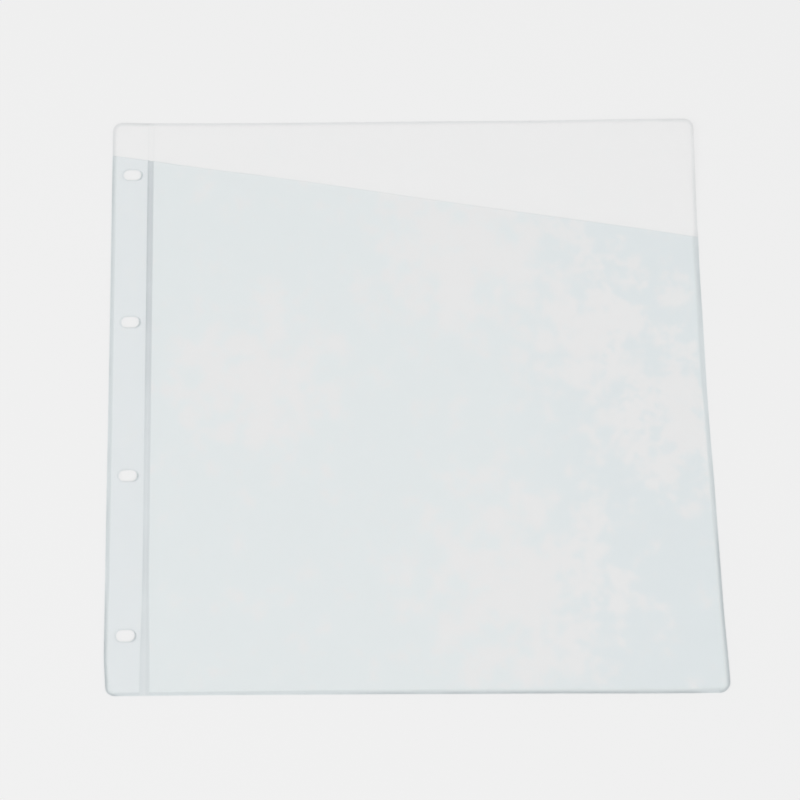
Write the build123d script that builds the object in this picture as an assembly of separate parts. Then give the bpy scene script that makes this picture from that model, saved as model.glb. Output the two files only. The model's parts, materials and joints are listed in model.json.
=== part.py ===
"""Clear top-loading sheet protector for a ring binder, in a square format.

Two films lie on each other and are welded along the binding edge, the bottom and the side. A fourth
weld, the spine, parts the punched binding strip from the pocket, and the page turns on its thin land.
The front film is cut on a slant, so the back film stands up behind the mouth of the pocket. There the
welding bar has pressed the back film alone, which leaves a low rim round it and a crease at the spine.

Millimetres. +X runs from the binding edge to the side edge, +Y from the bottom to the open top and
+Z out of the front film. The origin is the middle of the sheet, on its back.
"""
from build123d import *
import os

# Sheet
sheet_width = 300.0         # binding edge to side edge
sheet_height = 300.0        # bottom edge to top edge
corner_radius = 5.0

# Films
film_thickness = 0.2
pocket_gap = 0.3            # room between the two films

# Mouth of the pocket, measured down from the top edge of the sheet
mouth_drop_binding = 19.0   # at the binding edge
mouth_drop_side = 65.0      # at the side edge

# Binding strip
strip_width = 18.0          # binding edge to the spine weld
slot_count = 4
slot_pitch = 80.0
slot_length = 9.2           # across the strip
slot_width = 6.0            # along the strip
slot_inset = 10.0           # binding edge to the middle of a slot

# Welds
edge_weld_width = 2.2
spine_width = 3.2
double_land = 0.35          # both films, pressed into one
single_land = 0.15          # the back film alone, pressed above the mouth
bead_width = 0.9            # roll of plastic that the bar squeezes out of two films
bead_rise = 0.15            # bead above the film beside it
flank_width = 0.3           # slope down to the land

# Cutting blocks stand this far past the sheet
cut_margin = 10.0

# Places across and along the sheet
half_width = sheet_width / 2
half_height = sheet_height / 2
past_binding_edge = -half_width - cut_margin
past_side_edge = half_width + cut_margin
spine_left = strip_width - half_width
spine_right = spine_left + spine_width
binding_corner = corner_radius - half_width
side_corner = half_width - corner_radius

# Heights above the back of the sheet
front_film_bottom = film_thickness + pocket_gap
front_film_top = front_film_bottom + film_thickness


def slab(x_low, x_high):
    """Cutting block over the sheet's whole height, between two places across it."""
    length = sheet_height + 2 * cut_margin
    return Pos((x_low + x_high) / 2, 0, 0) * Box(x_high - x_low, length, 2 * cut_margin)


def mouth_height(x):
    """Where the front film ends, at a place across the sheet."""
    slope = (mouth_drop_side - mouth_drop_binding) / sheet_width
    return half_height - mouth_drop_binding - slope * (x + half_width)


def below_mouth():
    """Cutting block under the slanted line of the mouth."""
    below_sheet = -half_height - cut_margin
    outline = Polyline(
        (past_binding_edge, below_sheet),
        (past_side_edge, below_sheet),
        (past_side_edge, mouth_height(past_side_edge)),
        (past_binding_edge, mouth_height(past_binding_edge)),
        close=True,
    )
    return extrude(make_face(outline), cut_margin, both=True)


def bead(film_side, way):
    """Rounded top of a bead, from the film beside it towards the weld's land."""
    crest = (film_side + way * bead_width / 2, front_film_top + bead_rise)
    return ThreePointArc((film_side, front_film_top), crest, (film_side + way * bead_width, front_film_top))


def lip(land):
    """Rounded outer edge of the sheet, where the welding bar has cut it off."""
    return CenterArc((land, 0), land, 90, 90)


def edge_weld_section():
    """Both films at an edge: first inwards from the sheet's edge, then up."""
    inner_bead = bead(edge_weld_width, -1)
    land_start = edge_weld_width - bead_width - flank_width
    top = Polyline(inner_bead @ 1, (land_start, double_land), (double_land, double_land))
    bottom = Polyline((0, 0), (edge_weld_width, 0), (edge_weld_width, front_film_top))
    return make_face(Curve() + [inner_bead, top, lip(double_land), bottom])


def pressed_edge_section():
    """The back film alone at an edge: first inwards from the sheet's edge, then up."""
    land_start = edge_weld_width - flank_width
    top = Polyline((edge_weld_width, film_thickness), (land_start, single_land), (single_land, single_land))
    bottom = Polyline((0, 0), (edge_weld_width, 0), (edge_weld_width, film_thickness))
    return make_face(Curve() + [top, lip(single_land), bottom])


def spine_weld_section():
    """Both films at the spine: first across the sheet, then up."""
    left_bead = bead(spine_left, 1)
    right_bead = bead(spine_right, -1)
    land_left = spine_left + bead_width + flank_width
    land_right = spine_right - bead_width - flank_width
    valley = Polyline(left_bead @ 1, (land_left, double_land), (land_right, double_land), right_bead @ 1)
    bottom = Polyline(right_bead @ 0, (spine_right, 0), (spine_left, 0), left_bead @ 0)
    return make_face(Curve() + [left_bead, valley, right_bead, bottom])


def pressed_spine_section():
    """The back film alone at the spine: first across the sheet, then up."""
    outline = Polyline(
        (spine_left, 0),
        (spine_right, 0),
        (spine_right, film_thickness),
        (spine_right - flank_width, single_land),
        (spine_left + flank_width, single_land),
        (spine_left, film_thickness),
        close=True,
    )
    return make_face(outline)


def along_edges(section):
    """Bar down the binding edge, along the bottom and up the side, round both corners."""
    path = FilletPolyline(
        (-half_width, half_height),
        (-half_width, -half_height),
        (half_width, -half_height),
        (half_width, half_height),
        radius=corner_radius,
    )
    start = Plane(origin=path @ 0, x_dir=(1, 0, 0), z_dir=path % 0)
    return sweep(start * section, path=path)


def along_spine(section):
    """Bar up the spine, over the whole height of the sheet."""
    return extrude(Plane.XZ * section, half_height, both=True)


def film(bottom):
    """One film inside the edge welds, with its underside at the given height."""
    outline = RectangleRounded(
        sheet_width - 2 * edge_weld_width,
        sheet_height - 2 * edge_weld_width,
        corner_radius - edge_weld_width,
    )
    return Pos(0, 0, bottom) * extrude(outline, film_thickness)


def ring_slots():
    """Punched slots for the binder's rings, in a row up the strip."""
    slot = extrude(SlotOverall(slot_length, slot_width), cut_margin, both=True)
    row = Pos(slot_inset - half_width, 0, 0)
    return [row * place * slot for place in GridLocations(0, slot_pitch, 1, slot_count)]


# The welds turn from joining both films to pressing the back film alone along the line of the mouth
double_side = below_mouth()
edge_seams = along_edges(edge_weld_section()) & double_side
open_rim = Rot(0, 0, 180) * along_edges(pressed_edge_section()) - double_side
hinge_weld = along_spine(spine_weld_section()) & double_side
spine_crease = along_spine(pressed_spine_section()) - double_side

# The films, whole and unpunched
back_film = film(0) + open_rim
front_film = film(front_film_bottom) & double_side

# The spine parts the sheet into the binding strip and the page
strip_side = slab(past_binding_edge, spine_left)
page_side = slab(spine_right, past_side_edge)

nodes = {
    "strip_back_film": (back_film & strip_side) - ring_slots(),
    "strip_front_film": (front_film & strip_side) - ring_slots(),
    "binding_edge_seam": edge_seams & slab(past_binding_edge, binding_corner),
    "strip_bottom_seam": edge_seams & slab(binding_corner, spine_left),
    "spine_seam": hinge_weld + spine_crease,
    "pocket_back_film": back_film & page_side,
    "pocket_front_film": front_film & page_side,
    "pocket_bottom_seam": edge_seams & slab(spine_right, side_corner),
    "side_seam": edge_seams & slab(side_corner, past_side_edge),
}

os.makedirs("parts", exist_ok=True)
for name, solid in nodes.items():
    export_step(solid, os.path.join("parts", name + ".step"))
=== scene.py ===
import json
import math

import bpy
from mathutils import Matrix, Vector, geometry, kdtree, noise


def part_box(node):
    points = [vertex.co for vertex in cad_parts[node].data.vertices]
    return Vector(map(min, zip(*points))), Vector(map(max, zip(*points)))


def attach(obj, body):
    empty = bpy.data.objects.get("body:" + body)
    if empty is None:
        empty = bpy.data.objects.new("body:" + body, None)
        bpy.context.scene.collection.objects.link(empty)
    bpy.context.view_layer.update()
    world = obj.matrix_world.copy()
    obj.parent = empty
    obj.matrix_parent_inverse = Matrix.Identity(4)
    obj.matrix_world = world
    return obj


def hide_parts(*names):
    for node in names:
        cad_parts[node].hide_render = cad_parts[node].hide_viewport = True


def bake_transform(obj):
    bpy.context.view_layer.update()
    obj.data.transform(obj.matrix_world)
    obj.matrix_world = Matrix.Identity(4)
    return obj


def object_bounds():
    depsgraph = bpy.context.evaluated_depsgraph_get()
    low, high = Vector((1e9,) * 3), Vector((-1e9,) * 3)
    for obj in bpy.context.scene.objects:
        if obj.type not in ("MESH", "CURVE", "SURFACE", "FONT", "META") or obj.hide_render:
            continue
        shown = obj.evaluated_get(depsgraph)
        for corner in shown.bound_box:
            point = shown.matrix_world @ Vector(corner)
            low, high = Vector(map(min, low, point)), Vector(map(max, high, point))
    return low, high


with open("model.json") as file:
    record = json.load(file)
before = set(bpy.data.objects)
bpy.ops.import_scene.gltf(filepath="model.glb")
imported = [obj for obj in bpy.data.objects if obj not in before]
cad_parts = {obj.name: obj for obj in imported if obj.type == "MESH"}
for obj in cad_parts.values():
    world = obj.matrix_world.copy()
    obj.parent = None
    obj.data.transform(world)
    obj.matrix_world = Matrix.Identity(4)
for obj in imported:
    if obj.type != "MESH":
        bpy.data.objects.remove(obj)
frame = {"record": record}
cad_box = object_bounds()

# A clear sheet protector of soft PVC film, lying flat and empty on a pale table. Metres, in the frame of
# the solids: +X from the binding edge to the side edge, +Y up to the open top, +Z out of the front film.
mm = 0.001


# Places and heights, read from the solids

left, bottom = cad_box[0].x, cad_box[0].y
right, top = cad_box[1].x, cad_box[1].y
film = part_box("pocket_back_film")[1].z
front_under, front_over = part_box("pocket_front_film")[0].z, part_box("pocket_front_film")[1].z
bead_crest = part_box("spine_seam")[1].z
spine_left, spine_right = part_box("spine_seam")[0].x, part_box("spine_seam")[1].x
spine_width = spine_right - spine_left
edge_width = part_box("strip_bottom_seam")[1].y - bottom
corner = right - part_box("side_seam")[0].x
inner_corner = corner - edge_width
strip_in, pocket_out = left + edge_width, right - edge_width
film_bottom, film_top = bottom + edge_width, top - edge_width
mouth_at_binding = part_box("binding_edge_seam")[1].y
mouth_at_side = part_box("side_seam")[1].y
mouth_slope = (mouth_at_binding - mouth_at_side) / (pocket_out - left)
slots = [mount for mount in frame["record"]["mounts"] if mount["name"].startswith("ring_slot")]

# The welding bar's own section
land_double = 0.35 * mm      # both films pressed into one
land_single = 0.15 * mm      # the back film alone, pressed above the mouth
bead_width = 0.9 * mm
flank_width = 0.3 * mm
underside_shares = (1.0, 0.67, 0.33, 0.0)      # places across a bar's flat underside

# How the film lies: slow swells on the table, corners that have lifted, room between the films, and how
# far from the welds that hold it a front film comes free
swell_height, swell_length = 0.2 * mm, 110 * mm
lifted_corners = (           # x, y, lift and reach
    (left, top, 0.7 * mm, 22 * mm),
    (right, top, 1.7 * mm, 85 * mm),
)
pocket_puff, puff_change, puff_length = 0.40 * mm, 0.30 * mm, 95 * mm
pocket_fade, strip_side_fade = 35 * mm, 40 * mm
mouth_lift, mouth_reach = 0.25 * mm, 35 * mm
strip_puff, strip_puff_length = 0.10 * mm, 30 * mm
strip_fade, strip_foot_fade = 5 * mm, 8 * mm
clinging_places = (          # where the pocket's films have come together: x, y and reach
    (27 * mm, 75 * mm, 80 * mm),
    (92 * mm, 38 * mm, 75 * mm),
    (128 * mm, -12 * mm, 65 * mm),
    (52 * mm, -98 * mm, 90 * mm),
    (-78 * mm, 10 * mm, 70 * mm),
)

# The punch met the two films a little apart, and left a burr that stands into the slot
punch_shift = Vector((0.45 * mm, -0.35 * mm))
burr_width, burr_height = 1.0 * mm, 0.10 * mm
burr_overhang = Vector((0.2 * mm, 0.45 * mm))    # at the slot's ends, and at its sides
shadowed_way = Vector((-0.25, -0.97))                # the run along the burr at which its painted shadow is darkest, at the slots' right ends where the cut film stands up
slit_width, slit_height = 0.45 * mm, 0.05 * mm
sunk = 0.02 * mm             # how far the foot of a burr or a slit edge goes into the film

# How dark such lines of painted shade are at their darkest, as a share of their material's range, and how
# much darker the burr's painted shadow is on its shadowed side
burr_dark, burr_shadow = 0.15, 0.75
slit_dark = 0.25
crease_dark, crease_sharpness = 0.22, 4

# Small faults of the welding and the cutting
bead_unevenness, bead_run = 0.10, 26 * mm
edge_wander, wander_run = 0.14 * mm, 60 * mm

# Each slow unevenness is read from a layer of the noise of its own, so that no two run alike
swell_layer, puff_layer, strip_puff_layer = 0 * mm, 40 * mm, 90 * mm
wander_layer, bead_layer = 200 * mm, 500 * mm

# How hot each welding bar was, as (share of its length, heat), which sets how narrow and dark its painted
# line of shade is
binding_heat = ((0.0, 0.6), (0.5, 0.2), (0.75, 0.3), (0.87, 1.0), (1.0, 0.9))
strip_bottom_heat = ((0.0, 0.6), (0.3, 0.1), (1.0, 0.1))
pocket_bottom_heat = (
    (0.0, 0.1), (0.25, 0.2), (0.40, 0.65), (0.65, 1.0), (0.95, 1.0), (0.985, 0.35), (1.0, 0.5),
)
side_heat = (
    (0.0, 1.0), (0.30, 1.0), (0.46, 0.5), (0.60, 0.18), (0.72, 0.0), (0.86, 0.4), (0.94, 0.45), (1.0, 0.2),
)
spine_heat = ((0.0, 0.0), (0.3, 0.2), (0.85, 1.0), (1.0, 1.0))
pocket_rim_heat = (
    (0.0, 0.55), (0.08, 0.75), (0.14, 0.55), (0.17, 1.0), (0.21, 0.9), (0.30, 0.3), (0.40, 0.1), (1.0, 0.1),
)
spine_rim_heat = ((0.0, 0.35), (1.0, 0.5))
strip_rim_heat = ((0.0, 0.5), (1.0, 0.7))
even_heat = ((0.0, 1.0), (1.0, 1.0))

# The side weld has shrunk and draws the sheet's edge in, less where the back film stands alone
side_draw, draw_run = 1.2 * mm, 150 * mm
open_draw, open_run = 0.9, 75 * mm

# The free top hangs a little low towards the binding edge and stands a little high towards the side edge,
# and the pocket's mouth hangs a little low
top_sag, sag_depth = 1.3 * mm, 40 * mm
sag_start, sag_run = 50 * mm, 170 * mm
top_rise, rise_start, rise_run = 0.5 * mm, 205 * mm, 55 * mm
mouth_sag, mouth_depth, mouth_run = 0.3 * mm, 25 * mm, 30 * mm

# The bottom weld runs out of square towards the side edge
bottom_drop, drop_depth = 0.9 * mm, 25 * mm
drop_start, drop_run = 130 * mm, 170 * mm

# Its lip was trimmed out of line with it: close at the binding edge, wide at the side edge
trim_at_binding, trim_at_side = 0.6 * mm, -0.2 * mm
trim_start, trim_run = 30 * mm, 165 * mm

# The lower corners lie a little towards the side edge, and the hinge weld has spread at its foot
side_shift, side_shift_depth = 0.75 * mm, 45 * mm
binding_shift, binding_shift_depth = 1.1 * mm, 22 * mm
spine_flare, flare_depth, flare_reach = 0.9 * mm, 65 * mm, 3 * mm

# The side weld's melt has run: inwards below the mouth, and outwards at the mouth and along the foot
run_in, run_in_depth, run_in_fade, run_in_reach = 0.85 * mm, 75 * mm, 25 * mm, 6 * mm
mouth_lip, mouth_lip_depth, above_mouth = 0.3 * mm, 20 * mm, 5 * mm
foot_lip, foot_lip_height, foot_lip_fade = 0.35 * mm, 105 * mm, 40 * mm

# How finely the shapes are drawn
pocket_step, strip_step, slot_step = 4 * mm, 1.5 * mm, 1 * mm
weld_step, fold_step = 2.5 * mm, 0.4 * mm
corner_steps, lip_steps, flank_steps, bead_steps, ridge_steps = 8, 6, 6, 10, 6
shortest_run, same_place = 1e-3 * mm, 1e-4 * mm


# How the flat cut has settled

def mouth(x):
    """Where the front film ends, at a place across the sheet."""
    return mouth_at_binding - mouth_slope * (x - left)


def ease(share):
    """0 to 1 with level ends."""
    share = min(max(share, 0.0), 1.0)
    return share * share * (3 - 2 * share)


def binding_corner_shift(x, y):
    """How far the strip's foot lies towards the side edge, fading out at the spine."""
    near_foot = ease(1 - (y - bottom) / binding_shift_depth)
    return binding_shift * near_foot * ease((spine_left - x) / (spine_left - left))


def side_drawn_in(x, y):
    """How far the shrunk side weld has drawn the pocket in, from nothing at the spine."""
    height = y - bottom
    draw = side_draw * ease(height / draw_run) - side_shift * ease(1 - height / side_shift_depth)
    if y > mouth(x):
        draw *= open_draw * (1 - ease((y - mouth(x)) / open_run))
    return draw * ease((x - spine_right) / (right - spine_right))


def spine_spread(x, y):
    """How far the foot of the hinge weld has spread, to either side of its middle."""
    from_hinge, half_spine = x - (spine_left + spine_right) / 2, spine_width / 2
    flare = spine_flare * ease(1 - (y - bottom) / flare_depth) * min(max(from_hinge / half_spine, -1), 1)
    return flare * (1 - ease((abs(from_hinge) - half_spine) / flare_reach))


def side_melt_run(x, y):
    """How far the side weld's melt has run, outwards at its lip and inwards at its bead."""
    height, below_mouth = y - bottom, mouth(x) - y
    doubled = 1 - ease(-below_mouth / above_mouth)
    lip = foot_lip * (1 - ease((height - foot_lip_height) / foot_lip_fade))
    lip += mouth_lip * doubled * ease(1 - below_mouth / mouth_lip_depth)
    melt = run_in * doubled * (1 - ease((below_mouth - run_in_depth) / run_in_fade))
    outward = min(max((x - pocket_out) / edge_width, 0), 1)
    return lip * outward - melt * (1 - outward) * (1 - ease((pocket_out - x) / run_in_reach))


def top_and_mouth_drop(x, y):
    """How far the free top and the mouth hang low."""
    across, near_top = x - left, ease(1 - (top - y) / sag_depth)
    drop = top_sag * near_top * (1 - ease((across - sag_start) / sag_run))
    drop -= top_rise * near_top * ease((across - rise_start) / rise_run)
    return drop + mouth_sag * ease(1 - abs(mouth(x) - y) / mouth_depth) * ease((x - spine_right) / mouth_run)


def foot_drop(x, y):
    """How far the bottom weld runs low, less what was trimmed off its lip."""
    across, height = x - left, y - bottom
    trim = trim_at_binding + (trim_at_side - trim_at_binding) * ease((across - trim_start) / trim_run)
    drop = bottom_drop * ease(1 - height / drop_depth) * ease((across - drop_start) / drop_run)
    return drop - trim * max(1 - height / edge_width, 0)


def settled(x, y):
    """Where a place of the flat cut has come to lie."""
    shift = binding_corner_shift(x, y) - side_drawn_in(x, y) + spine_spread(x, y) + side_melt_run(x, y)
    return x + shift, y - (top_and_mouth_drop(x, y) + foot_drop(x, y))


def lie(x, y):
    """Height of the sheet's back above the table."""
    height = swell_height * (1 + noise.noise(Vector((x, y, swell_layer)) / swell_length)) / 2
    for corner_x, corner_y, lift, reach in lifted_corners:
        height += lift * ease(1 - math.hypot(x - corner_x, y - corner_y) / reach)
    return height


def pocket_cling(x, y):
    """How closely the pocket's films lie together, from 0 to 1."""
    return max(ease(1 - math.hypot(x - at_x, y - at_y) / reach) for at_x, at_y, reach in clinging_places)


def no_cling(x, y):
    """Films that lie loose everywhere."""
    return 0.0


def pocket_front_lie(x, y):
    """Underside of the pocket's front film, which stands off the back film and is held at three sides.
    It lies flat beside the spine, where it comes down on the strip when the page is turned."""
    past_strip = x - spine_right - (spine_left - left)
    held = ease(past_strip / strip_side_fade) * ease((pocket_out - x) / pocket_fade)
    held *= ease((y - film_bottom) / pocket_fade)
    wave = noise.noise(Vector((x, y, puff_layer)) / puff_length)
    room = pocket_puff + puff_change * wave + mouth_lift * ease(1 - (mouth(x) - y) / mouth_reach)
    return lie(x, y) + front_under + held * max(room, 0) * (1 - pocket_cling(x, y))


def strip_front_lie(x, y):
    """Underside of the strip's front film."""
    held = ease((x - strip_in) / strip_fade) * ease((spine_left - x) / strip_fade)
    held *= ease((y - film_bottom) / strip_foot_fade)
    wave = noise.noise(Vector((x, y, strip_puff_layer)) / strip_puff_length)
    return lie(x, y) + front_under + held * strip_puff * (1 + wave) / 2


def on_film(underside):
    """Height of a burr's foot on the film that has this underside."""
    return lambda x, y: underside(x, y) + film - sunk


# Lines and sections

def outline(corners, closed=True, step=weld_step):
    """Points along a line of (x, y, radius) corners, square ones where the radius is 0."""
    turns = []
    for i, (x, y, radius) in enumerate(corners):
        point = Vector((x, y))
        if radius == 0:
            turns.append(point)
            continue
        before = (Vector(corners[i - 1][:2]) - point).normalized()
        after = (Vector(corners[(i + 1) % len(corners)][:2]) - point).normalized()
        centre = point + radius * (before + after)
        for k in range(corner_steps + 1):
            angle = math.pi / 2 * k / corner_steps
            turns.append(centre - radius * (after * math.cos(angle) + before * math.sin(angle)))
    points = []
    ends = turns[1:] + turns[:1] if closed else turns[1:]
    for start, end in zip(turns, ends):
        length = (end - start).length
        if length > shortest_run:
            parts = max(1, round(length / step))
            points += [start.lerp(end, k / parts) for k in range(parts)]
    return points if closed else points + [turns[-1]]


def open_line(*corners, step=weld_step):
    """Points along a line that doesn't close."""
    return outline(corners, closed=False, step=step)


def slot_outline(mount, shift=Vector((0, 0)), inset=Vector((0, 0))):
    """One ring slot, which runs across the strip, or a line inside its edge."""
    x, y = mount["pos_m"][0] + shift.x, mount["pos_m"][1] + shift.y
    round_end = mount["dims"]["hole_r_mm"] * mm - inset.y
    half = mount["dims"]["slot_length_mm"] * mm / 2 - inset.x
    return outline([
        (x - half, y - round_end, round_end),
        (x + half, y - round_end, round_end),
        (x + half, y + round_end, round_end),
        (x - half, y + round_end, round_end),
    ], step=slot_step)


def rise_to_film(width, land, beside, crest):
    """Top of a weld from its land up to the film beside it, as (place across, height)."""
    flank_start = width - bead_width - flank_width
    line = [(0.0, land)]
    for k in range(flank_steps + 1):
        share = k / flank_steps
        line.append((flank_start + flank_width * share, land + (beside - land) * ease(share)))
    for k in range(1, bead_steps + 1):
        share = k / bead_steps
        arch = 1 - (2 * share - 1) ** 2
        line.append((width - bead_width + bead_width * share, beside + (crest - beside) * arch))
    return line


def edge_section(land, beside, crest):
    """A weld at the sheet's edge, from its rounded outer lip inwards."""
    angles = [math.pi / 2 * k / lip_steps for k in range(lip_steps)]
    lip = [(land * (1 - math.cos(angle)), land * math.sin(angle)) for angle in angles]
    inward = rise_to_film(edge_width - land, land, beside, crest)
    return lip + [(land + place, height) for place, height in inward]


def spine_section(land, beside, crest):
    """The hinge weld, with its thin land between two beads."""
    middle = spine_width / 2
    half = rise_to_film(middle, land, beside, crest)
    first_half = [(middle - place, height) for place, height in reversed(half)]
    return first_half + [(middle + place, height) for place, height in half[1:]]


def half_round(width, height):
    """A low rounded ridge."""
    shares = [k / ridge_steps for k in range(ridge_steps)]
    return [(width * share, height * math.sin(math.pi * share)) for share in shares] + [(width, 0.0)]


# Meshes

def new_piece(name, points, faces, smooth):
    """A mesh object, smooth where it says so and crisp round the faces that aren't."""
    mesh = bpy.data.meshes.new(name)
    mesh.from_pydata(points, [], faces)
    mesh.polygons.foreach_set("use_smooth", smooth)
    crisp = {edge for face in mesh.polygons if not face.use_smooth for edge in face.edge_keys}
    mesh.edges.foreach_set("use_edge_sharp", [edge.key in crisp for edge in mesh.edges])
    mesh.update()
    piece = bpy.data.objects.new(name, mesh)
    bpy.context.scene.collection.objects.link(piece)
    return piece


def mark(piece, name, values):
    """Keeps a value at each point of a piece, for its material to read."""
    piece.data.attributes.new(name, "FLOAT", "POINT").data.foreach_set("value", values)


def within(point, loop):
    """Whether a closed line goes round a point."""
    crossed = False
    for a, b in zip(loop, loop[1:] + loop[:1]):
        if (a.y > point.y) != (b.y > point.y):
            crossed ^= point.x < a.x + (b.x - a.x) * (point.y - a.y) / (b.y - a.y)
    return crossed


def film_net(edge, holes, step):
    """A film's flat cut as a fine net: its points, and the triangles between them."""
    points, lines = [], []
    for loop in [edge] + holes:
        first = len(points)
        points += loop
        lines += [(first + i, first + (i + 1) % len(loop)) for i in range(len(loop))]
    rim = kdtree.KDTree(len(points))
    for i, point in enumerate(points):
        rim.insert(point.to_3d(), i)
    rim.balance()
    first_x, last_x = min(point.x for point in edge), max(point.x for point in edge)
    first_y, last_y = min(point.y for point in edge), max(point.y for point in edge)
    row_step = step * math.sqrt(3) / 2
    for row in range(int((last_y - first_y) / row_step) + 1):
        for column in range(int((last_x - first_x) / step) + 1):
            point = Vector((first_x + (column + row % 2 / 2) * step, first_y + row * row_step))
            if rim.find(point.to_3d())[2] > step / 2:
                points.append(point)
    inside_edges = 1
    flat, _, triangles = geometry.delaunay_2d_cdt(points, lines, [], inside_edges, same_place)[:3]
    middles = [sum((flat[i] for i in triangle), Vector((0, 0))) / 3 for triangle in triangles]
    kept = [
        triangle for triangle, middle in zip(triangles, middles)
        if not any(within(middle, hole) for hole in holes)
    ]
    used = sorted({i for triangle in kept for i in triangle})
    place = {i: k for k, i in enumerate(used)}
    return [flat[i] for i in used], [[place[i] for i in triangle] for triangle in kept]


def film_sheet(name, edge, holes, underside, step, cling=no_cling):
    """A film between its welds: a thin closed sheet on a fine net of triangles, so that it can swell."""
    flat, triangles = film_net(edge, holes, step)
    low = [Vector((*settled(x, y), underside(x, y))) for x, y in flat]
    high = [point + Vector((0, 0, film)) for point in low]
    sides = {(corners[k], corners[(k + 1) % 3]) for corners in triangles for k in range(3)}
    rims = sorted((a, b) for a, b in sides if (b, a) not in sides)
    count = len(flat)
    faces = triangles + [[count + i for i in reversed(corners)] for corners in triangles]
    faces += [(count + a, count + b, b, a) for a, b in rims]
    smooth = [True] * (2 * len(triangles)) + [False] * len(rims)
    sheet = new_piece(name, high + low, faces, smooth)
    clings = [cling(x, y) for x, y in flat]
    mark(sheet, "cling", clings + clings)
    return sheet


def plain(share, along):
    """The place across a bar, as it is."""
    return share


def crease_shade(share, along):
    """Clear, with a faint line of painted shade at each side where the bar's edges bit."""
    return 1 - crease_dark * abs(2 * share - 1) ** crease_sharpness


def burr_shade(share, along):
    """Clear at the burr's foot and dark at its crest, as painted shade for the cut edge, and darkest as a
    painted shadow on the side where the cut film stands up.
    """
    burr_darkness = burr_dark + burr_shadow * max(along.dot(shadowed_way), 0) ** 2
    return 1 - burr_darkness * math.sin(math.pi * share)


def slit_shade(share, along):
    """A faint line of painted shade along the cut edge."""
    return 1 - slit_dark * math.sin(math.pi * share)


def heat_at(share, heats):
    """A bar's heat at a share of its length, from its (share, heat) pairs."""
    for (start, before), (end, after) in zip(heats, heats[1:]):
        if share <= end:
            return before + (after - before) * ease((share - start) / (end - start))
    return heats[-1][1]


def weld_bar(name, path, section, base=lie, closed=False, mouth_end=None, wander=edge_wander, shade=plain,
             heat=even_heat):
    """A bar of one section along a line, the section's places counted to the left of the line.
    mouth_end is the first or last ring of the bar where the mouth's slanted cut ends it."""
    width = section[-1][0]
    underside = [(width * share, 0.0) for share in underside_shares]
    ring = section + [place for place in underside if place not in (section[0], section[-1])]
    points, shades, melts = [], [], []
    last = len(path) - 1
    for i, point in enumerate(path):
        before = path[i - 1] if closed or i > 0 else point
        after = path[(i + 1) % len(path)] if closed or i < last else point
        along = (after - before).normalized()
        inward = Vector((-along.y, along.x))
        slant = mouth_slope if mouth_end is not None and i == mouth_end % len(path) else 0.0
        drift = wander * noise.noise(Vector((*point, wander_layer)) / wander_run)
        swelling = 1 + bead_unevenness * noise.noise(Vector((*point, bead_layer)) / bead_run)
        for place, height in ring:
            x, y = point + inward * (place - drift * (1 - place / width)) + along * slant * place
            points.append(Vector((*settled(x, y), base(x, y) + height * swelling)))
            shades.append(shade(place / width, along))
            melts.append(heat_at(i / last, heat))
    size = len(ring)
    faces, smooth = [], []
    for i in range(len(path) if closed else last):
        here, there = i * size, (i + 1) % len(path) * size
        for k in range(size):
            beside = (k + 1) % size
            faces.append((here + k, there + k, there + beside, here + beside))
            smooth.append(k < len(section) - 1)
    if not closed:
        faces += [list(range(size)), list(range(len(points) - 1, len(points) - size - 1, -1))]
        smooth += [False, False]
    bar = new_piece(name, points, faces, smooth)
    mark(bar, "across", shades)
    mark(bar, "melt", melts)
    return bar


# Materials

def linear(colour, share=1.0):
    """Linear RGBA of an sRGB hex colour, or of the share of a tint that one pass gives."""
    channels = [int(colour[i:i + 2], 16) / 255 for i in (1, 3, 5)]
    light = [c / 12.92 if c <= 0.04045 else ((c + 0.055) / 1.055) ** 2.4 for c in channels]
    return [c ** share for c in light] + [1.0]


def add(material, kind, sockets, **settings):
    """Adds a node: settings are its own fields, sockets its inputs, each a value or a node's output."""
    node = material.node_tree.nodes.new("ShaderNode" + kind)
    for field, value in settings.items():
        setattr(node, field, value)
    for socket, value in sockets.items():
        if isinstance(value, bpy.types.NodeSocket):
            material.node_tree.links.new(value, node.inputs[socket])
        else:
            node.inputs[socket].default_value = value
    return node


def new_material(name):
    """An empty node material."""
    material = bpy.data.materials.new(name)
    material.use_nodes = True
    material.node_tree.nodes.clear()
    return material


# Sockets of a Mix node that mixes colours
mix_share, mix_from, mix_to, mixed = 0, 6, 7, 2

# Light passes a film on its way to the table and again on its way back.
pass_share = 1 / 2
white = linear("#FFFFFF")

# Soft PVC, and how much its film and its welds spread a reflection
pvc_ior = 1.53
film_roughness, weld_roughness = 0.10, 0.16

# The film's patches, where it clings: how large, how ragged, how much more likely in the clinging places,
# and the noise at which one starts and is full
patch_size, patch_detail, patch_raggedness = 16 * mm, 5.0, 0.80
cling_pull, patch_start, patch_full = 0.17, 0.53, 0.66

# Where the film was rolled thicker, and the marks of the rolls, which are finer and drawn as coarse as shows
thin_to, thick_from = 30 * mm, 110 * mm
roll_size, roll_detail, roll_depth = 7 * mm, 2.0, 0.02 * mm

# How a bar's heat changes along it, and the bar's grit, which is finer and drawn as coarse as shows
heat_run, heat_detail = 25 * mm, 3.0
heat_change = {"From Min": 0.35, "From Max": 0.65, "To Min": -0.3, "To Max": 0.1}
grit_size, grit_detail, grit_depth = 1.2 * mm, 2.0, 0.03 * mm


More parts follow.
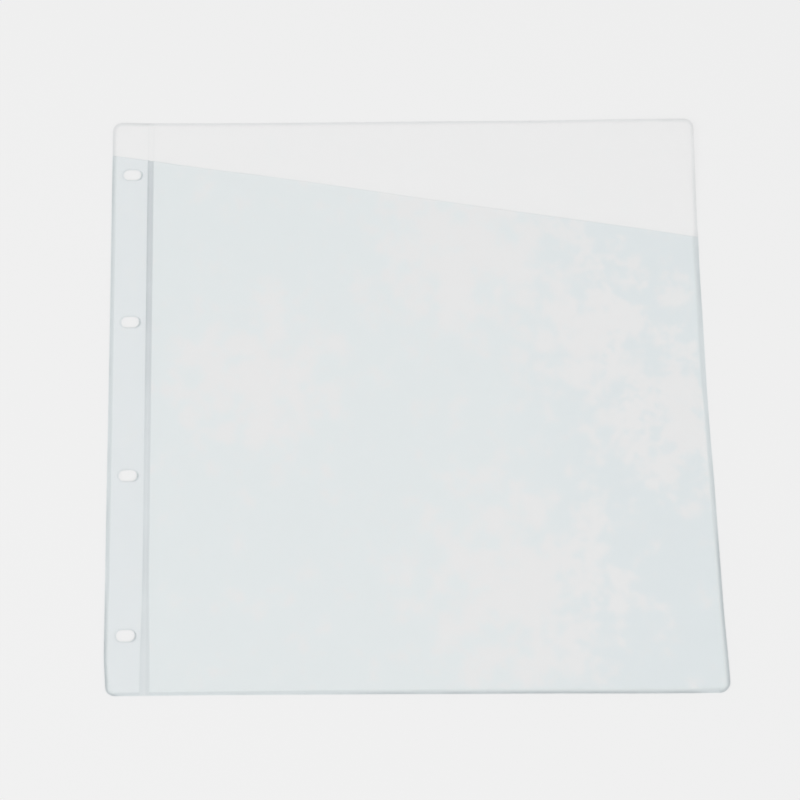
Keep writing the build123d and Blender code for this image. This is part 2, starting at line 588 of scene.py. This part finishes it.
def see_through(material, tint, normal, roughness):
    """Ends a clear plastic: gloss and tint at the face that light meets first, and nothing at the far
    face, where it leaves again."""
    through = add(material, "BsdfTransparent", {"Color": tint})
    gloss = add(material, "BsdfAnisotropic", {"Color": white, "Roughness": roughness, "Normal": normal})
    mirror = add(material, "Fresnel", {"IOR": pvc_ior, "Normal": normal}).outputs[0]
    near_face = add(material, "MixShader", {0: mirror, 1: through.outputs[0], 2: gloss.outputs[0]})
    far_face = add(material, "BsdfTransparent", {"Color": white})
    leaving = add(material, "NewGeometry", {}).outputs["Backfacing"]
    surface = add(material, "MixShader", {0: leaving, 1: near_face.outputs[0], 2: far_face.outputs[0]})
    add(material, "OutputMaterial", {"Surface": surface.outputs[0]})


def calendered_pvc(name, thin, thick, clinging):
    """Soft PVC, calendered to a clear glossy film. It is faintly blue-green, deeper towards the side edge
    where it was rolled thicker, paler and greyer in the ragged patches where it clings to what lies under
    it, and its rolled surface shivers in a reflection."""
    material = new_material(name)
    at = add(material, "TexCoord", {}).outputs["Object"]
    cling = add(material, "Attribute", {}, attribute_name="cling").outputs["Fac"]
    patch = add(material, "TexNoise", {
        "Vector": at, "Scale": 1 / patch_size, "Detail": patch_detail, "Roughness": patch_raggedness,
    })
    held = add(material, "Math", {
        0: cling, 1: cling_pull, 2: patch.outputs["Fac"],
    }, operation="MULTIPLY_ADD")
    wetted = add(material, "MapRange", {
        "Value": held.outputs[0], "From Min": patch_start, "From Max": patch_full,
    }, interpolation_type="SMOOTHSTEP")
    side_ward = add(material, "SeparateXYZ", {"Vector": at}).outputs["X"]
    thickness = add(material, "MapRange", {
        "Value": side_ward, "From Min": thin_to, "From Max": thick_from,
    }, interpolation_type="SMOOTHSTEP")
    clear = add(material, "Mix", {
        mix_share: thickness.outputs["Result"],
        mix_from: linear(thin, pass_share), mix_to: linear(thick, pass_share),
    }, data_type="RGBA")
    tint = add(material, "Mix", {
        mix_share: wetted.outputs["Result"],
        mix_from: clear.outputs[mixed], mix_to: linear(clinging, pass_share),
    }, data_type="RGBA")
    rolled = add(material, "TexNoise", {"Vector": at, "Scale": 1 / roll_size, "Detail": roll_detail})
    shiver = add(material, "Bump", {
        "Height": rolled.outputs["Fac"], "Strength": 1.0, "Distance": roll_depth,
    })
    see_through(material, tint.outputs[mixed], shiver.outputs["Normal"], film_roughness)
    return material


def welded_pvc(name, cool, hot):
    """The same PVC, melted under a bar, and tinted darker than the film: painted shade for the light that
    its lip and beads bend away. Where the bar was hot the lip ran into a narrow dark line, where it was
    cooler the weld is a broad pale band, and both are uneven along the run. cool and hot are (place
    across, colour)."""
    material = new_material(name)
    at = add(material, "TexCoord", {}).outputs["Object"]
    across = add(material, "Attribute", {}, attribute_name="across").outputs["Fac"]
    heat = add(material, "Attribute", {}, attribute_name="melt").outputs["Fac"]
    shade_ramps = []
    for stops in (cool, hot):
        shade_ramp = add(material, "ValToRGB", {"Fac": across})
        ramp = shade_ramp.color_ramp.elements
        while len(ramp) < len(stops):
            ramp.new(1.0)
        for element, (place, colour) in zip(ramp, stops):
            element.position = place
            element.color = linear(colour, pass_share)
        shade_ramps.append(shade_ramp.outputs["Color"])
    uneven = add(material, "TexNoise", {"Vector": at, "Scale": 1 / heat_run, "Detail": heat_detail})
    change = add(material, "MapRange", {"Value": uneven.outputs["Fac"], **heat_change})
    melted = add(material, "Math", {0: heat, 1: change.outputs["Result"]}, operation="ADD", use_clamp=True)
    tint = add(material, "Mix", {
        mix_share: melted.outputs[0], mix_from: shade_ramps[0], mix_to: shade_ramps[1],
    }, data_type="RGBA")
    grit = add(material, "TexNoise", {"Vector": at, "Scale": 1 / grit_size, "Detail": grit_detail})
    rough = add(material, "Bump", {
        "Height": grit.outputs["Fac"], "Strength": 1.0, "Distance": grit_depth,
    })
    see_through(material, tint.outputs[mixed], rough.outputs["Normal"], weld_roughness)
    return material


# The film: the back shows no colour of its own against the table, the front and the strip a cool one
back_pvc = calendered_pvc("calendered_pvc_back", "#FFFFFF", "#FFFFFF", "#FEFFFF")
front_pvc = calendered_pvc("calendered_pvc_front", "#F6FCFD", "#F2F9FB", "#FDFDFD")
strip_pvc = calendered_pvc("calendered_pvc_strip", "#F6FBFD", "#F6FBFD", "#F9FCFD")

# The welds' tint is painted shade for the light that their lips and beads bend away: an edge weld is darkest
# at its lip, the hinge weld at its two beads
edge_weld_pvc = welded_pvc("welded_pvc_edge", [
    (0.0, "#E9EFF1"), (0.20, "#E5ECEE"), (0.75, "#E3EAEC"), (0.92, "#E9F0F1"), (1.0, "#F2F8F8"),
], [
    (0.0, "#C3CACD"), (0.28, "#C8CFD2"), (0.52, "#DCE3E5"), (0.78, "#EEF4F4"), (1.0, "#F4FAFA"),
])
spine_weld_pvc = welded_pvc("welded_pvc_spine", [
    (0.0, "#EDF3F4"), (0.08, "#E8EEF0"), (0.26, "#E5EBED"),
    (0.52, "#ECF1F3"), (0.93, "#E7EDEF"), (1.0, "#EEF4F5"),
], [
    (0.0, "#F1F7F7"), (0.14, "#D9DFE2"), (0.50, "#DADFE2"),
    (0.74, "#D6DCDF"), (0.92, "#CAD1D4"), (1.0, "#D5DBDE"),
])

# The back film alone, pressed by the same bar: a thin grey line of painted shade at its lip, clear towards
# the film
pressed_pvc = welded_pvc("pressed_pvc", [
    (0.0, "#EFF0F1"), (0.40, "#F3F4F5"), (0.80, "#FCFCFC"), (1.0, "#FEFEFE"),
], [
    (0.0, "#DEE0E1"), (0.40, "#E6E8E9"), (0.80, "#F9FAFA"), (1.0, "#FEFEFE"),
])

# Cut by the punch or the knife: the raw edge shows as a fine dark line, painted shade for the light that the
# edge bends away and the shadow it casts
cut_pvc = welded_pvc("cut_pvc", [(0.0, "#DFE4E6"), (1.0, "#FFFFFF")], [(0.0, "#CFD5D8"), (1.0, "#FFFFFF")])


def dress(piece, material, slot, *nodes):
    """Gives a piece its finish, and hides the solids that it stands for."""
    piece.data.materials.append(material)
    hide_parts(*nodes)


# Films

back_slots = [slot_outline(mount) for mount in slots]
front_slots = [slot_outline(mount, punch_shift) for mount in slots]

strip_back = film_sheet("strip_back_sheet", outline([
    (strip_in, film_bottom, inner_corner), (spine_left, film_bottom, 0),
    (spine_left, film_top, 0), (strip_in, film_top, inner_corner),
], step=strip_step), back_slots, lie, strip_step)
strip_front = film_sheet("strip_front_sheet", outline([
    (strip_in, film_bottom, inner_corner), (spine_left, film_bottom, 0),
    (spine_left, mouth(spine_left), 0), (strip_in, mouth(strip_in), 0),
], step=strip_step), front_slots, strip_front_lie, strip_step)
pocket_back = film_sheet("pocket_back_sheet", outline([
    (spine_right, film_bottom, 0), (pocket_out, film_bottom, inner_corner),
    (pocket_out, film_top, inner_corner), (spine_right, film_top, 0),
]), [], lie, pocket_step)
pocket_front = film_sheet("pocket_front_sheet", outline([
    (spine_right, film_bottom, 0), (pocket_out, film_bottom, inner_corner),
    (pocket_out, mouth(pocket_out), 0), (spine_right, mouth(spine_right), 0),
]), [], pocket_front_lie, pocket_step, pocket_cling)

for piece, material, node, body in (
    (strip_back, back_pvc, "strip_back_film", "binding_strip"),
    (strip_front, strip_pvc, "strip_front_film", "binding_strip"),
    (pocket_back, back_pvc, "pocket_back_film", "pocket_page"),
    (pocket_front, front_pvc, "pocket_front_film", "pocket_page"),
):
    dress(piece, material, "clear_film", node)
    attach(piece, body)


# Edge welds, and the rims pressed into the back film above the mouth

double_edge = edge_section(land_double, front_over, bead_crest)
single_edge = edge_section(land_single, film, film)

binding_weld = weld_bar("binding_edge_weld", open_line(
    (left, mouth(left), 0), (left, bottom, corner), (left + corner, bottom, 0),
), double_edge, mouth_end=0, heat=binding_heat)
strip_bottom_weld = weld_bar("strip_bottom_weld", open_line(
    (left + corner, bottom, 0), (spine_left, bottom, 0),
), double_edge, heat=strip_bottom_heat)
pocket_bottom_weld = weld_bar("pocket_bottom_weld", open_line(
    (spine_right, bottom, 0), (right - corner, bottom, 0),
), double_edge, heat=pocket_bottom_heat)
side_weld = weld_bar("side_weld", open_line(
    (right - corner, bottom, 0), (right, bottom, corner), (right, mouth(right), 0),
), double_edge, mouth_end=-1, heat=side_heat)
pocket_rim = weld_bar("pocket_open_rim", open_line(
    (right, mouth(right), 0), (right, top, corner), (spine_right, top, 0),
), single_edge, mouth_end=0, heat=pocket_rim_heat)
strip_rim = weld_bar("strip_open_rim", open_line(
    (spine_left, top, 0), (left, top, corner), (left, mouth(left), 0),
), single_edge, mouth_end=-1, heat=strip_rim_heat)

for piece, material, slot, node, body in (
    (binding_weld, edge_weld_pvc, "weld", "binding_edge_seam", "binding_strip"),
    (strip_bottom_weld, edge_weld_pvc, "weld", "strip_bottom_seam", "binding_strip"),
    (pocket_bottom_weld, edge_weld_pvc, "weld", "pocket_bottom_seam", "pocket_page"),
    (side_weld, edge_weld_pvc, "weld", "side_seam", "pocket_page"),
    (pocket_rim, pressed_pvc, "clear_film", "pocket_back_film", "pocket_page"),
    (strip_rim, pressed_pvc, "clear_film", "strip_back_film", "binding_strip"),
):
    dress(piece, material, slot, node)
    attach(piece, body)


# The spine: its weld, the crease above the mouth, and its piece of the rim

spine_weld = weld_bar("spine_weld", open_line(
    (spine_right, bottom, 0), (spine_right, mouth(spine_right), 0),
), spine_section(land_double, front_over, bead_crest), mouth_end=-1, wander=0, heat=spine_heat)
spine_crease = weld_bar("spine_crease", open_line(
    (spine_right, mouth(spine_right), 0), (spine_right, film_top, 0),
), spine_section(land_single, film, film), mouth_end=0, wander=0, shade=crease_shade)
spine_rim = weld_bar("spine_open_rim", open_line(
    (spine_right, top, 0), (spine_left, top, 0), step=fold_step,
), single_edge, heat=spine_rim_heat)

for piece, material in (
    (spine_weld, spine_weld_pvc), (spine_crease, pressed_pvc), (spine_rim, pressed_pvc),
):
    dress(piece, material, "weld", "spine_seam")
    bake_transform(piece)


# Cut edges: the burr that the punch left round each slot, and the slit edge of the mouth

burrs = {"back": [], "front": []}
for number, mount in enumerate(slots, 1):
    for side, shift, underside in (("back", Vector((0, 0)), lie), ("front", punch_shift, strip_front_lie)):
        burr = weld_bar(
            f"slot_burr_{side}_{number}", slot_outline(mount, shift, burr_overhang)[::-1],
            half_round(burr_width, burr_height), base=on_film(underside),
            closed=True, wander=0, shade=burr_shade,
        )
        dress(burr, cut_pvc, "clear_film")
        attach(burr, "binding_strip")
        burrs[side].append(burr)


def mouth_slit(name, start, end, underside, body):
    """The slit edge of a front film, along the mouth."""
    slit = weld_bar(name, open_line(
        (end, mouth(end), 0), (start, mouth(start), 0),
    ), half_round(slit_width, slit_height), base=on_film(underside), wander=0, shade=slit_shade)
    dress(slit, cut_pvc, "clear_film")
    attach(slit, body)
    return slit


strip_slit = mouth_slit("strip_mouth_edge", strip_in, spine_left, strip_front_lie, "binding_strip")
pocket_slit = mouth_slit("pocket_mouth_edge", spine_right, pocket_out, pocket_front_lie, "pocket_page")


# What each film was cut to, between the welds that hold it

def back_end(x):
    """Where the back film ends, which is the same all across the sheet."""
    return film_top


round_end, slot_half = slots[0]["dims"]["hole_r_mm"] * mm, slots[0]["dims"]["slot_length_mm"] * mm / 2
punched_out = len(slots) * (4 * slot_half * round_end - (4 - math.pi) * round_end ** 2)
for piece, start, end, ends_at, punched, under, trims in (
    (strip_back, strip_in, spine_left, back_end, punched_out, "table", [strip_rim, *burrs["back"]]),
    (strip_front, strip_in, spine_left, mouth, punched_out, strip_back, [strip_slit, *burrs["front"]]),
    (pocket_back, spine_right, pocket_out, back_end, 0.0, "table", [pocket_rim]),
    (pocket_front, spine_right, pocket_out, mouth, 0.0, pocket_back, [pocket_slit]),
):
    cut = end - start, ends_at(start) - film_bottom
    cut_area = cut[0] * (ends_at((start + end) / 2) - film_bottom) - punched


# Table, light and camera

# The table lies a hair under the sheet, so that their faces don't meet.
table_half, table_drop = 6.0, 0.05 * mm
table = new_piece("table", [
    (x * table_half, y * table_half, -table_drop) for x, y in ((-1, -1), (1, -1), (1, 1), (-1, 1))
], [(0, 1, 2, 3)], [False])

# Board under matt paint, pale and even, with no gloss
paint_roughness = 0.3
table_paint = new_material("matt_painted_board")
paint = add(table_paint, "BsdfDiffuse", {"Color": linear("#EFEFEF"), "Roughness": paint_roughness})
add(table_paint, "OutputMaterial", {"Surface": paint.outputs[0]})
table.data.materials.append(table_paint)

room_light = 0.80
world = bpy.data.worlds.new("studio")
bpy.context.scene.world = world
world.use_nodes = True
world.node_tree.nodes["Background"].inputs["Color"].default_value = white
world.node_tree.nodes["Background"].inputs["Strength"].default_value = room_light


def softbox(name, place, size, power):
    """A large soft lamp that points at the sheet."""
    lamp = bpy.data.lights.new(name, "AREA")
    lamp.shape = "RECTANGLE"
    lamp.size, lamp.size_y = size
    lamp.energy = power
    holder = bpy.data.objects.new(name, lamp)
    holder.location = place
    holder.rotation_mode = "QUATERNION"
    holder.rotation_quaternion = (-Vector(place)).to_track_quat("-Z", "Y")
    bpy.context.scene.collection.objects.link(holder)


softbox("window_side_softbox", place=(-2.2, -0.9, 2.0), size=(2.0, 1.4), power=22)
softbox("fill_softbox", place=(2.4, -1.0, 2.0), size=(1.6, 1.6), power=16)

# The photograph's viewing angle, with the focal length in pixels of its square image
image_side, focal_pixels, sensor_width = 800, 2413, 36
view_heading, view_elevation, view_roll = math.radians(8.652), math.radians(71.692), math.radians(7.885)
view_distance = 1.20095
view_target = Vector((-5.46 * mm, -1.85 * mm, 0))

level = math.cos(view_elevation)
sight = Vector((math.sin(view_heading) * level, math.cos(view_heading) * level, -math.sin(view_elevation)))
camera = bpy.data.objects.new("camera", bpy.data.cameras.new("camera"))
camera.data.sensor_width = sensor_width
camera.data.lens = sensor_width * focal_pixels / image_side
camera.rotation_mode = "QUATERNION"
camera.location = view_target - view_distance * sight
turn = sight.to_track_quat("-Z", "Y").to_matrix() @ Matrix.Rotation(view_roll, 3, "Z")
camera.rotation_quaternion = turn.to_quaternion()
bpy.context.scene.collection.objects.link(camera)
bpy.context.scene.camera = camera
bpy.context.scene.view_settings.view_transform = "Standard"

# A low look along the turned page passes the faces of many films
bpy.context.scene.cycles.transparent_max_bounces = 32
